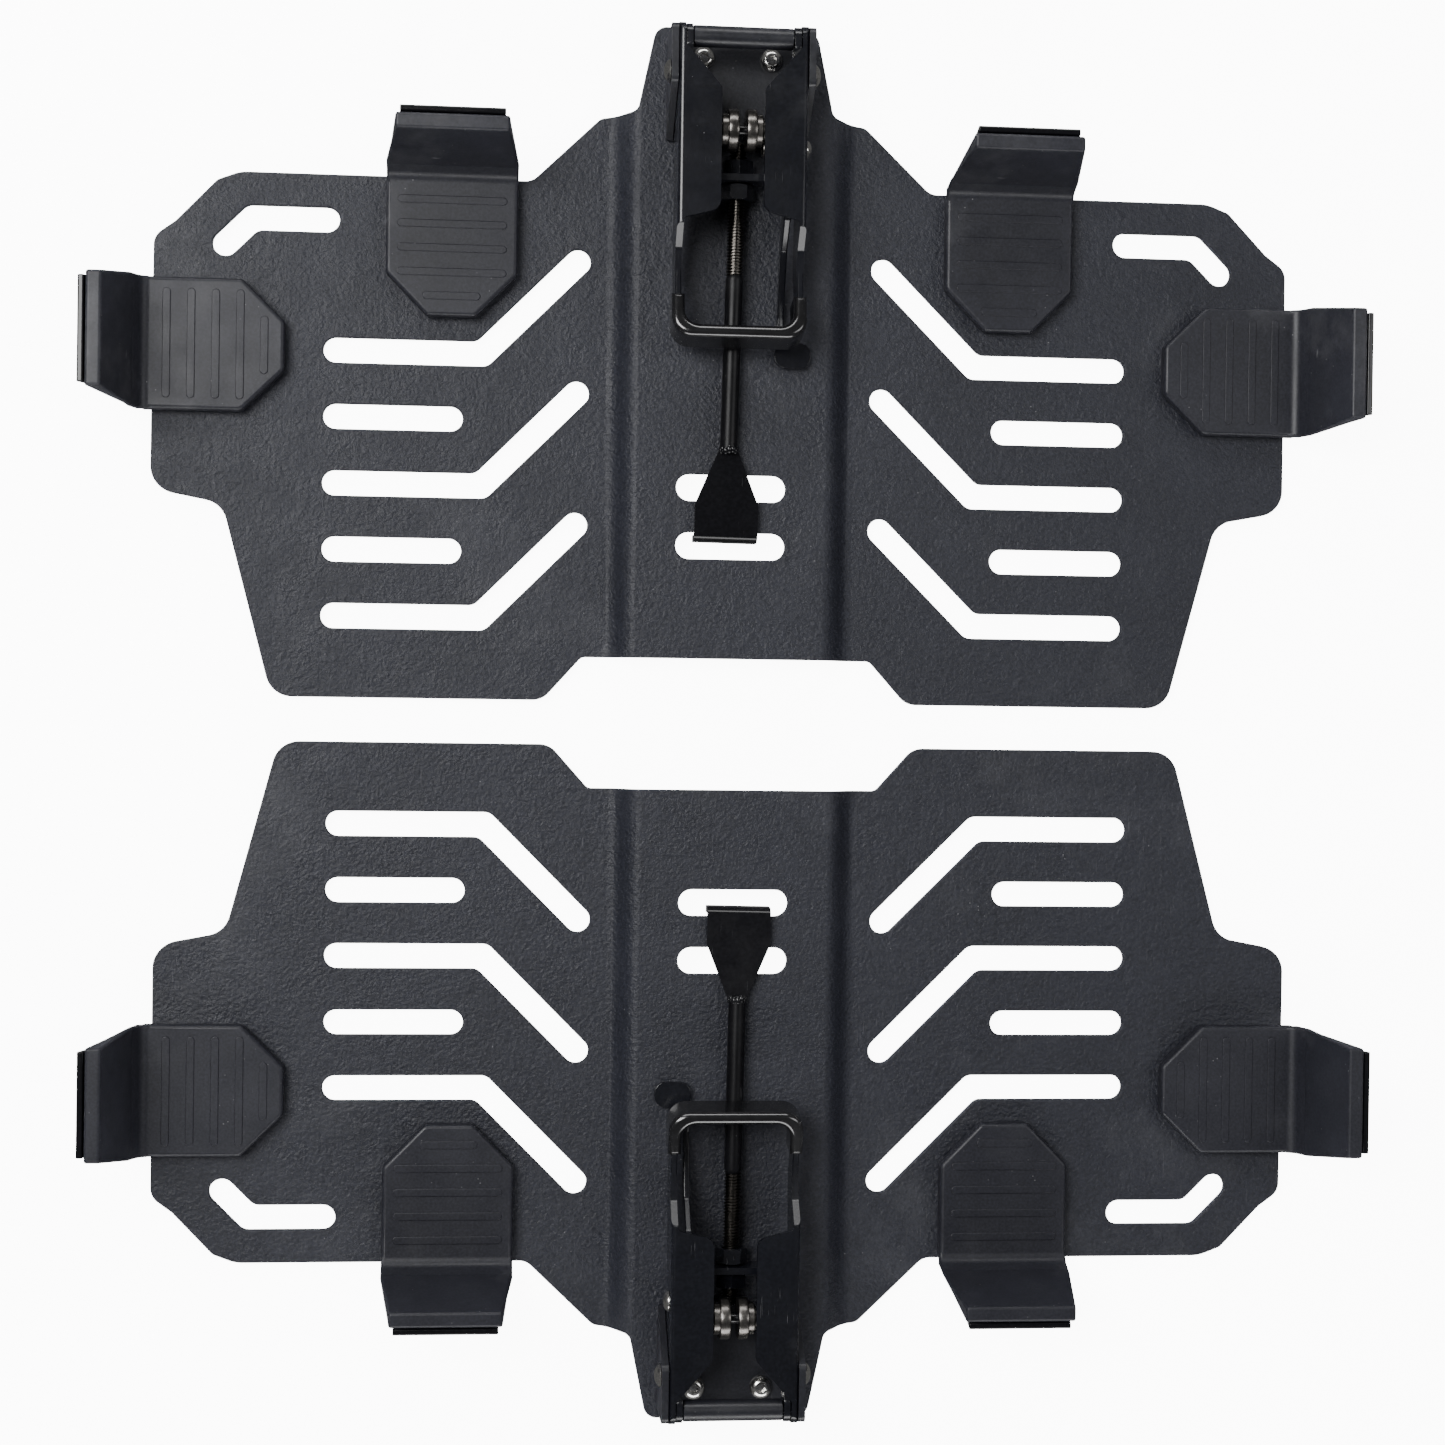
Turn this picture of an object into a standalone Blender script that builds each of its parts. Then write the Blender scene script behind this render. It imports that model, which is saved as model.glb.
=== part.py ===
"""Set of two hook-on rack plates with over-centre latches (Blender 4.5).

Each unit is a laser-cut plate with a raised centre channel, four upright hooks in
rubber boots, and a latch: a base with two ears, a U-handled lever, a yoke, a threaded
rod with a T-hook, and a sprung trigger. The rear unit lies at +Y. The front unit is
the same thing turned half round, and both lie flat on the floor, hooks up.

Every shape is drawn once in the unit's own frame (millimetres, x across, y outwards
from the pair's middle, z up from the floor) and scaled to metres.
"""
import bpy
import bmesh
from math import atan2, cos, pi, radians, sin, tan
from mathutils import Matrix, Vector

MM = 0.001
SET_NAME = "bed_rack_hook_plate_set"
PAIR_OFFSET = 3.6            # sideways shift between the two units as laid down

# Plate
PLATE_T = 4.0
RISE = 10.0                  # how far the centre channel stands above the wings
FOLD_IN, FOLD_OUT = 45.5, 54.0
SLOT_W = 11.4
SLOT_PITCH = 59.8
CENTRE_TOP = PLATE_T + RISE
HALF_OUTLINE = [             # x, y, corner radius, right half, tongue to channel foot
    (36.7, 315.0, 6), (44.6, 277.0, 4), (60.8, 274.8, 6), (91.6, 245.3, 8),
    (222.0, 245.3, 18), (260.3, 211.0, 14), (260.3, 102.5, 12), (228.5, 96.5, 12),
    (205.7, 10.0, 12), (84.0, 10.0, 10), (66.3, 29.8, 4)]
LONG_SLOT_Y = 166.5
SHORT_SLOT_Y = 136.7
KEEPER_Y = (107.3, 81.0)     # the two slots that the T-hook can drop into
KEEPER_HALF = 25.0
KEEPER_W = 12.2

# Hooks, in their own frame: u outwards from the crease, v along the edge, z up
HOOK_W = 59.0
PAD_LEN = 62.6
PAD_TOP = 12.0
LIP_TOP = 54.0
STRAP_HALF = 23.0
STRAP_T = 3.0
SEAT = PLATE_T + 0.35
SIDE_HOOK = (263.6, 166.6)
EDGE_HOOK = (127.3, 244.6)

# Latch
GAP = 0.3
EAR_IN, EAR_OUT = 29.0, 32.0
EAR_TOP = 46.0
EAR_FRONT, EAR_BACK = 263.0, 309.4
BASE_T = 2.5
BASE_Z = CENTRE_TOP + GAP
PIVOT = (289.0, 38.5)        # y, z of the lever's rivets
TUBE = (304.4, 40.5)         # y, z of the cross tube
SPOOL = (264.0, 38.2)        # y, z of the shaft that carries the flanged rollers
TRIGGER_PIN = (256.4, 37.2)  # y, z of the trigger's pin
WALL_IN, WALL_OUT = 25.8, 28.7
LEVER_TOP = 46.8
WING_T = 2.8
WING_IN = 9.6
KINK_Y, KINK_Z = 204.0, 28.5
HANDLE_END = 170.6
HANDLE_H = 15.0
HANDLE_TILT = 13.0
GRIP_START = 189.0
ARM_IN, ARM_OUT = 22.6, 25.4
WEB_Y = (242.9, 245.9)
ROD_R = 3.95
ROD_END, ROD_FOOT = 261.8, 124.4
ROD_Z_WEB = 23.4
ROD_SLOPE = 2.1              # degrees, down towards the T-hook
ROD_SKEW = 0.9               # degrees sideways, the play that it is laid down with
NUT_R, NUT_H = 7.5, 6.8
TRIGGER_X = (19.2, 22.2)
SCREW_AT = (15.4, 300.6)

ROUND = 20                   # sides of a round piece


# ---------------------------------------------------------------- drawing helpers

def arc_corner(before, corner, after, radius, steps):
    """Points of the arc that rounds one corner of an outline."""
    p, a, b = Vector(corner), Vector(before), Vector(after)
    d1, d2 = (a - p).normalized(), (b - p).normalized()
    half = d1.angle(d2) / 2
    reach = min(radius / tan(half), 0.49 * (a - p).length, 0.49 * (b - p).length)
    radius = reach * tan(half)
    centre = p + (d1 + d2).normalized() * (radius / sin(half))
    start, end = p + d1 * reach - centre, p + d2 * reach - centre
    turn = atan2(start.x * end.y - start.y * end.x, start.dot(end))
    a0 = atan2(start.y, start.x)
    return [(centre.x + radius * cos(a0 + turn * k / steps),
             centre.y + radius * sin(a0 + turn * k / steps)) for k in range(steps + 1)]


def rounded(corners, steps=3):
    """Closed outline from (x, y, radius) corners; radius 0 leaves a corner sharp."""
    points = []
    for k, (x, y, radius) in enumerate(corners):
        if radius:
            before, after = corners[k - 1][:2], corners[(k + 1) % len(corners)][:2]
            points += arc_corner(before, (x, y), after, radius, steps)
        else:
            points.append((x, y))
    return points


def mirrored(half):
    """Full outline from its right half, listed from top to bottom."""
    return half + [(-x, y, r) for x, y, r in reversed(half)]


def slot(path, width, steps=7):
    """Outline of a round-ended slot along a centre line of two or three points."""
    r = width / 2
    p = [Vector(q) for q in path]
    sides = []
    for line in (p, p[::-1]):
        normals = []
        for a, b in zip(line, line[1:]):
            d = (b - a).normalized()
            normals.append(Vector((d.y, -d.x)))
        first = line[0] + normals[0] * r
        run = [(first.x, first.y, 0)]
        if len(line) == 3:
            mid = (normals[0] + normals[1]).normalized()
            bend = line[1] + mid * (r / mid.dot(normals[0]))
            run.append((bend.x, bend.y, 6))
        last = line[-1] + normals[-1] * r
        run.append((last.x, last.y, 0))
        a0 = atan2(normals[-1].y, normals[-1].x)
        run += [(line[-1].x + r * cos(a0 + pi * k / steps),
                 line[-1].y + r * sin(a0 + pi * k / steps), 0) for k in range(1, steps)]
        sides += run
    return rounded(sides)


# ---------------------------------------------------------------- solid helpers

PLANES = {                   # how an outline's own x, y, z lie in the unit's frame
    "XY": Matrix.Identity(4),
    "YZ": Matrix(((0, 0, 1, 0), (1, 0, 0, 0), (0, 1, 0, 0), (0, 0, 0, 1))),
    "XZ": Matrix(((1, 0, 0, 0), (0, 0, -1, 0), (0, 1, 0, 0), (0, 0, 0, 1)))}


def tidy(bm):
    """Weld stray points and drop the edges that lie inside flat faces."""
    bmesh.ops.remove_doubles(bm, verts=bm.verts, dist=0.00001)
    bmesh.ops.dissolve_limit(bm, angle_limit=radians(0.2), verts=bm.verts, edges=bm.edges)
    bmesh.ops.recalc_face_normals(bm, faces=bm.faces)


def to_mesh(obj):
    """Replace an object by a mesh object of its evaluated shape, transform applied."""
    bpy.context.view_layer.update()
    evaluated = obj.evaluated_get(bpy.context.evaluated_depsgraph_get())
    mesh = bpy.data.meshes.new_from_object(evaluated)
    mesh.transform(obj.matrix_world)
    bm = bmesh.new()
    bm.from_mesh(mesh)
    tidy(bm)
    bm.to_mesh(mesh)
    bm.free()
    bpy.data.objects.remove(obj)
    made = bpy.data.objects.new("shape", mesh)
    bpy.context.scene.collection.objects.link(made)
    return made


def extruded(outlines, low, high, plane="XY"):
    """Flat outlines (the first one solid, the others holes) pulled from low to high."""
    curve = bpy.data.curves.new("outline", "CURVE")
    curve.dimensions = "2D"
    curve.fill_mode = "BOTH"
    curve.extrude = (high - low) / 2 * MM
    for outline in outlines:
        spline = curve.splines.new("POLY")
        spline.points.add(len(outline) - 1)
        for point, (x, y) in zip(spline.points, outline):
            point.co = (x * MM, y * MM, 0, 1)
        spline.use_cyclic_u = True
    obj = bpy.data.objects.new("outline", curve)
    bpy.context.scene.collection.objects.link(obj)
    obj.matrix_world = PLANES[plane] @ Matrix.Translation((0, 0, (high + low) / 2 * MM))
    return to_mesh(obj)


def turned(profile, steps=ROUND, axis="X", at=(0, 0, 0)):
    """Solid of revolution from (radius, length) points, listed from top to bottom."""
    mesh = bpy.data.meshes.new("profile")
    points = [(r * MM, 0, h * MM) for r, h in profile]
    mesh.from_pydata(points, [(k, k + 1) for k in range(len(points) - 1)], [])
    obj = bpy.data.objects.new("profile", mesh)
    bpy.context.scene.collection.objects.link(obj)
    screw = obj.modifiers.new("turn", "SCREW")
    screw.steps = screw.render_steps = steps
    screw.use_merge_vertices = True
    screw.merge_threshold = 0.00001
    turns = {"X": Matrix.Rotation(pi / 2, 4, "Y"), "Z": Matrix.Identity(4),
             "-X": Matrix.Rotation(-pi / 2, 4, "Y"), "Y": Matrix.Rotation(-pi / 2, 4, "X")}
    place = Matrix.Translation([c * MM for c in at])
    obj.matrix_world = place @ turns[axis]
    return to_mesh(obj)


def ring(outer, inner, low, high, axis="X", at=(0, 0, 0)):
    """Round bar, or a tube if inner is given, from low to high along an axis."""
    if inner:
        profile = [(inner, high), (outer, high), (outer, low), (inner, low), (inner, high)]
    else:
        profile = [(0, high), (outer, high), (outer, low), (0, low)]
    return turned(profile, axis=axis, at=at)


def boolean(target, other, operation="DIFFERENCE"):
    """Cut or join two shapes for good; the other shape is used up."""
    modifier = target.modifiers.new(operation.lower(), "BOOLEAN")
    modifier.operation = operation
    modifier.solver = "EXACT"
    modifier.object = other
    made = to_mesh(target)
    bpy.data.objects.remove(other)
    return made


def union(first, *others):
    for other in others:
        first = boolean(first, other, "UNION")
    return first


def cross_hole(shape, radius, y, z, reach=40):
    """Drill right through along x."""
    profile = [(0, reach), (radius, reach), (radius, -reach), (0, -reach)]
    return boolean(shape, turned(profile, 14, "X", (0, y, z)))


# ---------------------------------------------------------------- plate and hooks

def plate_slots():
    """All the slots of one plate."""
    outlines = []
    for side in (-1, 1):
        for row in range(3):
            y = LONG_SLOT_Y - SLOT_PITCH * row
            path = [(side * 178.6, y), (side * 113.1, y), (side * 70.2, y + 42.9)]
            outlines.append(slot(path, SLOT_W))
        for row in range(2):
            y = SHORT_SLOT_Y - SLOT_PITCH * row
            outlines.append(slot([(side * 178.4, y), (side * 127.2, y)], SLOT_W))
        hand_hold = [(side * 183.4, 224.9), (side * 216.4, 224.9), (side * 228.3, 213.0)]
        outlines.append(slot(hand_hold, SLOT_W))
    ends = KEEPER_HALF - KEEPER_W / 2
    for y in KEEPER_Y:
        outlines.append(slot([(-ends, y), (ends, y)], KEEPER_W))
    return outlines


def mounting_plate():
    """Flat blank with its slots and screw holes, then joggled up along the centre."""
    holes = plate_slots()
    for side in (-1, 1):
        x, y = side * SCREW_AT[0], SCREW_AT[1]
        holes.append([(x + 3.1 * cos(2 * pi * k / 12), y + 3.1 * sin(2 * pi * k / 12))
                      for k in range(12)])
    shape = extruded([rounded(mirrored(HALF_OUTLINE))] + holes, 0, PLATE_T)
    bm = bmesh.new()
    bm.from_mesh(shape.data)
    for side in (-1, 1):
        for fold in (FOLD_IN, FOLD_OUT):
            bmesh.ops.bisect_plane(bm, geom=bm.verts[:] + bm.edges[:] + bm.faces[:],
                                   plane_co=(side * fold * MM, 0, 0), plane_no=(1, 0, 0))
    for vert in bm.verts:
        along = (FOLD_OUT - abs(vert.co.x) / MM) / (FOLD_OUT - FOLD_IN)
        vert.co.z += RISE * MM * min(max(along, 0), 1)
    tidy(bm)
    bm.to_mesh(shape.data)
    bm.free()
    return shape


def strap():
    """Bent steel strap of a hook: a leg under the boot and a wall leaning outwards."""
    profile = [(-45.0, SEAT, 0), (6.4, SEAT, 5), (23.0, 51.5, 1), (19.9, 51.5, 1),
               (4.2, SEAT + STRAP_T, 3), (-45.0, SEAT + STRAP_T, 0)]
    return extruded([rounded(profile)], -STRAP_HALF, STRAP_HALF, "XZ")


def boot():
    """Rubber boot of a hook: a pad over the strap's leg and a thick padded wall."""
    half = HOOK_W / 2
    profile = [(-PAD_LEN, SEAT, 0), (-0.5, SEAT, 0), (-0.5, 8.3, 0), (3.0, 8.3, 0),
               (19.6, LIP_TOP, 1.2), (12.0, LIP_TOP, 1.2), (-1.5, PAD_TOP, 9),
               (-PAD_LEN, PAD_TOP, 3)]
    shape = extruded([rounded(profile)], -half, half, "XZ")
    pocket = [(-45.4, 2.0), (6.0, 2.0), (6.0, 7.7), (-45.4, 7.7)]
    shape = boolean(shape, extruded([pocket], -STRAP_HALF - 0.4, STRAP_HALF + 0.4, "XZ"))
    plan = [(-PAD_LEN - 5, 6.0), (-PAD_LEN - 5, 40.0), (-33.0, 40.0)]
    side = [(half, 26.0), (half + 10, 26.0), (half + 10, 62.0), (24.3, 62.0), (25.2, 52.0)]
    for sign in (-1, 1):
        shape = boolean(shape, extruded([[(u, sign * v) for u, v in plan]], 0, 70))
        cut = [(sign * v, z) for v, z in side]
        shape = boolean(shape, extruded([cut], -30, 40, "YZ"))
    return shape


# ---------------------------------------------------------------- latch

def latch_base():
    """Channel-shaped base: a floor screwed to the tongue and two upright ears."""
    top = BASE_Z + BASE_T
    ear = [(EAR_FRONT, BASE_Z, 0), (EAR_BACK, BASE_Z, 0), (EAR_BACK, EAR_TOP, 3.5),
           (284.0, EAR_TOP, 3.5), (EAR_FRONT, top, 1.5)]
    shape = extruded([rounded(ear)], -EAR_OUT, EAR_OUT, "YZ")
    inside = [(250.0, top), (320.0, top), (320.0, 60.0), (250.0, 60.0)]
    shape = boolean(shape, extruded([inside], -EAR_IN, EAR_IN, "YZ"))
    for side in (-1, 1):
        hole = ring(3.1, 0, 0, 30, "Z", (side * SCREW_AT[0], SCREW_AT[1], 0))
        shape = boolean(shape, hole)
    return cross_hole(shape, 2.85, *PIVOT)


def base_screw():
    """Button-head screw with a hex socket."""
    seat = BASE_Z + BASE_T + 0.05
    profile = [(0, seat + 3.0), (2.6, seat + 3.0), (4.2, seat + 2.3), (5.25, seat + 0.6),
               (5.25, seat), (2.7, seat), (2.7, 4.5), (0, 4.5)]
    shape = turned(profile, 20, "Z", (SCREW_AT[0], SCREW_AT[1], 0))
    key = [(SCREW_AT[0] + 2.31 * cos(pi * k / 3), SCREW_AT[1] + 2.31 * sin(pi * k / 3))
           for k in range(6)]
    return boolean(shape, extruded([key], seat + 1.2, seat + 6))


def pivot_rivet():
    """Domed rivet through an ear and the lever's wall."""
    profile = [(0, 35.0), (2.6, 34.6), (4.4, 33.5), (5.35, 32.3), (2.5, 32.3),
               (2.5, 26.1), (0, 26.1)]
    return turned(profile, 20, "X", (0, *PIVOT))


def lever():
    """Lever: two walls, two folded-in wings and a U-shaped handle, in one piece."""
    end = TUBE[0] + 5.6
    wall = [(end, LEVER_TOP, 5.6), (221.5, LEVER_TOP, 3), (211.0, 37.6, 4),
            (200.0, 36.6, 0), (200.0, 22.2, 0), (212.0, 21.6, 8), (240.0, 24.0, 10),
            (284.0, 27.0, 8), (297.0, 33.4, 8), (end, 34.6, 5.4)]
    edge = (WALL_IN + WALL_OUT) / 2
    wing = [(edge, 297.0, 0), (WING_IN, 281.2, 4), (WING_IN, 227.6, 5), (edge, 223.6, 0)]
    shapes = []
    for side in (-1, 1):
        low, high = sorted((side * WALL_IN, side * WALL_OUT))
        shapes.append(extruded([rounded(wall)], low, high, "YZ"))
        flat = [(side * x, y) for x, y in rounded(wing)]
        shapes.append(extruded([flat], LEVER_TOP - WING_T, LEVER_TOP - 0.2))
    handle = handle_solid(WALL_OUT - 0.1, WALL_IN + 0.1, HANDLE_END, KINK_Y + 4, HANDLE_H)
    shape = union(handle, *shapes)
    for spot in (PIVOT, TUBE, SPOOL):
        shape = cross_hole(shape, 2.85, *spot)
    drill = ring(2.35, 0, 20, 40, "X", (0, *TRIGGER_PIN))
    shape = boolean(shape, drill)
    return shape


def handle_solid(outer, inner, end, start, height):
    """U-shaped strip in plan, tipped up towards its closed end about the kink."""
    thick = outer - inner
    plan = [(outer, start, 0), (outer, end, 9), (-outer, end, 9), (-outer, start, 0),
            (-inner, start, 0), (-inner, end + thick, 6.5), (inner, end + thick, 6.5),
            (inner, start, 0)]
    shape = extruded([rounded(plan, 5)], KINK_Z - height / 2, KINK_Z + height / 2)
    centre = Matrix.Translation((0, KINK_Y * MM, KINK_Z * MM))
    turn = Matrix.Rotation(-radians(HANDLE_TILT), 4, "X")
    shape.data.transform(centre @ turn @ centre.inverted())
    return shape


def lever_grip():
    """Dipped grip over the handle's end."""
    outside = handle_solid(WALL_OUT + 1.5, WALL_IN - 1.5, HANDLE_END - 1.6, GRIP_START,
                           HANDLE_H + 3.0)
    inside = handle_solid(WALL_OUT + 0.25, WALL_IN - 0.25, HANDLE_END - 0.35,
                          GRIP_START + 8, HANDLE_H + 0.7)
    return boolean(outside, inside)


def yoke():
    """U-shaped yoke: two arms on the cross pin and a web that the rod goes through."""
    y, z = TUBE
    arm = [(y + 5.2, z + 5.2, 5.1), (y + 5.2, z - 5.2, 5.1), (292.0, 32.0, 6),
           (266.0, 26.0, 6), (257.0, 19.0, 6), (WEB_Y[0] + 0.4, 19.0, 0),
           (WEB_Y[0] + 0.4, 33.0, 0), (264.0, 34.0, 6), (291.0, 41.3, 4),
           (299.6, z + 5.2, 3)]
    web = [(WEB_Y[0], 19.3), (WEB_Y[1], 19.3), (WEB_Y[1], 32.7), (WEB_Y[0], 32.7)]
    shape = extruded([web], -ARM_OUT + 0.4, ARM_OUT - 0.4, "YZ")
    for side in (-1, 1):
        low, high = sorted((side * ARM_IN, side * ARM_OUT))
        shape = union(shape, extruded([rounded(arm)], low, high, "YZ"))
    shape = cross_hole(shape, 2.75, *TUBE)
    middle = sum(WEB_Y) / 2
    return boolean(shape, ring(4.5, 0, -12, 12, "Y", (0, middle, ROD_Z_WEB)))


def rod_frame():
    """Placement of the rod's own axis: its origin is in the middle of the web."""
    middle = sum(WEB_Y) / 2
    skew = Matrix.Rotation(-radians(ROD_SKEW), 4, "Z")
    slope = Matrix.Rotation(radians(ROD_SLOPE), 4, "X")
    return Matrix.Translation((0, middle * MM, ROD_Z_WEB * MM)) @ skew @ slope


def hook_rod():
    """Rod, threaded at its latch end, plain towards the T-hook."""
    middle = sum(WEB_Y) / 2
    end, foot = ROD_END - middle, ROD_FOOT - middle
    profile = [(0, end), (ROD_R - 1, end), (ROD_R, end - 1), (ROD_R, foot), (0, foot)]
    shape = turned(profile, 20, "Y")
    shape.data.transform(rod_frame())
    return shape


def lock_nut(side):
    """Hex nut against one face of the yoke's web; side is +1 towards the ears."""
    flat = [(NUT_R * cos(pi * k / 3), NUT_R * sin(pi * k / 3)) for k in range(6)]
    bore = [(4.3 * cos(pi * k / 8), 4.3 * sin(pi * k / 8)) for k in range(16)]
    start = 1.5 + 0.45
    low, high = sorted((-side * start, -side * (start + NUT_H)))
    shape = extruded([flat, bore], low, high, "XZ")
    shape.data.transform(rod_frame() @ Matrix.Rotation(radians(15 + 15 * side), 4, "Y"))
    return shape


def t_hook():
    """Bent T-plate: a neck that widens under the rod's foot, and a lip turned down."""
    low = CENTRE_TOP + 1.2
    high = low + 3.0
    bend = [(124.0, low, 0), (124.0, high, 0), (82.6, high, 4), (82.6, 7.0, 0),
            (85.6, 7.0, 0), (85.6, low, 1.2)]
    shape = extruded([rounded(bend)], -14.4, 14.4, "YZ")
    for side in (-1, 1):
        beside = [(side * 16.0, 95.4), (side * 4.0, 124.6), (side * 4.0, 140.0),
                  (side * 30.0, 140.0), (side * 30.0, 95.4)]
        shape = boolean(shape, extruded([beside], 0, 40))
    middle = Matrix.Translation((0, sum(WEB_Y) / 2 * MM, 0))
    turn = Matrix.Rotation(-radians(ROD_SKEW), 4, "Z")
    shape.data.transform(middle @ turn @ middle.inverted())
    return shape


def trigger():
    """Safety trigger: a thin blade beside the rod with a thumb tab past the handle."""
    y, z = TRIGGER_PIN
    blade = [(y + 4.4, z + 4.6, 4.2), (y + 4.4, z - 4.2, 4.2), (234.0, 34.4, 3),
             (213.0, 22.6, 4), (186.0, 15.6, 2), (171.0, 15.6, 0), (171.0, 18.1, 0),
             (184.0, 20.4, 3), (212.0, 30.0, 4), (225.0, 42.0, 4)]
    shape = extruded([rounded(blade)], *TRIGGER_X, "YZ")
    tab = [(TRIGGER_X[0] + 0.3, 174.0, 0), (TRIGGER_X[0] - 1.6, 162.0, 5), (35.0, 161.5, 7),
           (35.0, 172.5, 6), (26.0, 174.0, 2)]
    shape = union(shape, extruded([rounded(tab)], 15.9, 18.3))
    return cross_hole(shape, 2.35, *TRIGGER_PIN)


def roller():
    """Roller with a flange on its inner end."""
    profile = [(2.8, 12.4), (5.2, 12.4), (5.2, 9.2), (7.2, 9.2), (7.2, 6.4), (9.3, 6.4),
               (9.3, 1.7), (2.8, 1.7), (2.8, 12.4)]
    return turned(profile, axis="X", at=(0, *SPOOL))


def trigger_pin():
    """Pin of the trigger, domed outside the lever's wall."""
    profile = [(0, 31.6), (2.2, 31.3), (3.8, 30.4), (4.6, 29.0), (2.0, 29.0),
               (2.0, 13.0), (0, 13.0)]
    return turned(profile, 16, "X", (0, *TRIGGER_PIN))


# ---------------------------------------------------------------- materials, placing

FINISHES = {                 # base colour, roughness, metallic
    "powder_coat": ((0.045, 0.047, 0.055), 0.62, 0.0),
    "black_steel": ((0.018, 0.018, 0.021), 0.34, 0.3),
    "boot_rubber": ((0.035, 0.036, 0.040), 0.55, 0.0),
    "dipped_vinyl": ((0.012, 0.012, 0.014), 0.18, 0.0),
    "stainless": ((0.62, 0.61, 0.58), 0.25, 1.0),
    "dark_collar": ((0.16, 0.15, 0.14), 0.25, 1.0)}


def material(name, finish):
    """A piece's own Principled material."""
    color, roughness, metallic = FINISHES[finish]
    made = bpy.data.materials.new(name)
    made.use_nodes = True
    shader = made.node_tree.nodes["Principled BSDF"]
    shader.inputs["Base Color"].default_value = (*color, 1)
    shader.inputs["Roughness"].default_value = roughness
    shader.inputs["Metallic"].default_value = metallic
    return made


def empty(name, parent, location, collection, turn=0.0):
    """Guide that carries the pieces of one moving group."""
    guide = bpy.data.objects.new(name, None)
    collection.objects.link(guide)
    guide.parent = parent
    guide.location = [c * MM for c in location]
    guide.rotation_euler.z = turn
    guide.empty_display_size = 0.02
    return guide


def hook_places():
    """Name, x, y and turn of each hook on one plate."""
    sx, sy = SIDE_HOOK
    ex, ey = EDGE_HOOK
    return [("left_side", -sx, sy, pi), ("right_side", sx, sy, 0.0),
            ("left_edge", -ex, ey, pi / 2), ("right_edge", ex, ey, pi / 2)]


def flipped(shape):
    """Mirror image of a shape across the unit's centre plane."""
    mesh = shape.data.copy()
    mesh.transform(Matrix.Scale(-1, 4, (1, 0, 0)))
    mesh.flip_normals()
    made = bpy.data.objects.new("shape", mesh)
    bpy.context.scene.collection.objects.link(made)
    return made


def unit_pieces():
    """Every piece of one unit: name, shape, finish, group and placement."""
    still = Matrix.Identity(4)
    strap_shape, boot_shape = strap(), boot()
    screw, rivet = base_screw(), pivot_rivet()
    pieces = [("mounting_plate", mounting_plate(), "powder_coat", "unit", still)]
    for name, x, y, turn in hook_places():
        place = Matrix.Translation((x * MM, y * MM, 0)) @ Matrix.Rotation(turn, 4, "Z")
        pieces.append((name + "_hook_strap", strap_shape, "black_steel", "unit", place))
        pieces.append((name + "_hook_boot", boot_shape, "boot_rubber", "unit", place))
    pieces += [
        ("latch_base", latch_base(), "black_steel", "unit", still),
        ("left_base_screw", flipped(screw), "stainless", "unit", still),
        ("right_base_screw", screw, "stainless", "unit", still),
        ("left_pivot_rivet", flipped(rivet), "stainless", "unit", still),
        ("right_pivot_rivet", rivet, "stainless", "unit", still),
        ("lever", lever(), "black_steel", "lever", still),
        ("lever_grip", lever_grip(), "dipped_vinyl", "lever", still),
        ("cross_pin", ring(2.4, 0, -28.4, 28.4, "X", (0, *TUBE)), "black_steel", "lever",
         still),
        ("cross_tube", ring(4.75, 2.75, -22.2, 22.2, "X", (0, *TUBE)), "black_steel",
         "lever", still),
        ("trigger_pin", trigger_pin(), "stainless", "lever", still),
        ("trigger_spring", ring(3.9, 2.4, 13.6, 18.8, "X", (0, *TRIGGER_PIN)),
         "dark_collar", "lever", still),
        ("roller_shaft", ring(2.5, 0, -28.4, 28.4, "X", (0, *SPOOL)), "black_steel",
         "lever", still)]
    rolling = roller()
    pieces += [
        ("left_roller", flipped(rolling), "dark_collar", "lever", still),
        ("right_roller", rolling, "dark_collar", "lever", still)]
    pieces += [
        ("yoke", yoke(), "black_steel", "yoke", still),
        ("inner_lock_nut", lock_nut(-1), "black_steel", "yoke", still),
        ("outer_lock_nut", lock_nut(1), "black_steel", "yoke", still),
        ("hook_rod", hook_rod(), "black_steel", "rod", still),
        ("t_hook", t_hook(), "black_steel", "rod", still),
        ("trigger", trigger(), "black_steel", "trigger", still)]
    return pieces


def place_unit(label, pieces, turn, shift, collection):
    """Put one unit's pieces on guides that stand on its joint axes."""
    middle = sum(WEB_Y) / 2
    base = empty(label + "_unit_guide", None, (shift, 0, 0), collection, turn)
    spots = {"lever": (0, *PIVOT), "yoke": (0, *TUBE), "trigger": (0, *TRIGGER_PIN),
             "rod": (0, middle, ROD_Z_WEB)}
    guides = {"unit": (base, Vector())}
    for group, spot in spots.items():
        guides[group] = (empty(f"{label}_{group}_guide", base, spot, collection),
                         Vector(spot) * MM)
    for name, shape, finish, group, placement in pieces:
        node = f"{label}_{name}"
        guide, offset = guides[group]
        mesh = shape.data.copy()
        mesh.name = node
        mesh.materials.clear()
        mesh.materials.append(material(node, finish))
        mesh.shade_smooth()
        mesh.set_sharp_from_angle(angle=radians(35))
        obj = bpy.data.objects.new(node, mesh)
        collection.objects.link(obj)
        obj.parent = guide
        obj.matrix_local = Matrix.Translation(-offset) @ placement


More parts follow.
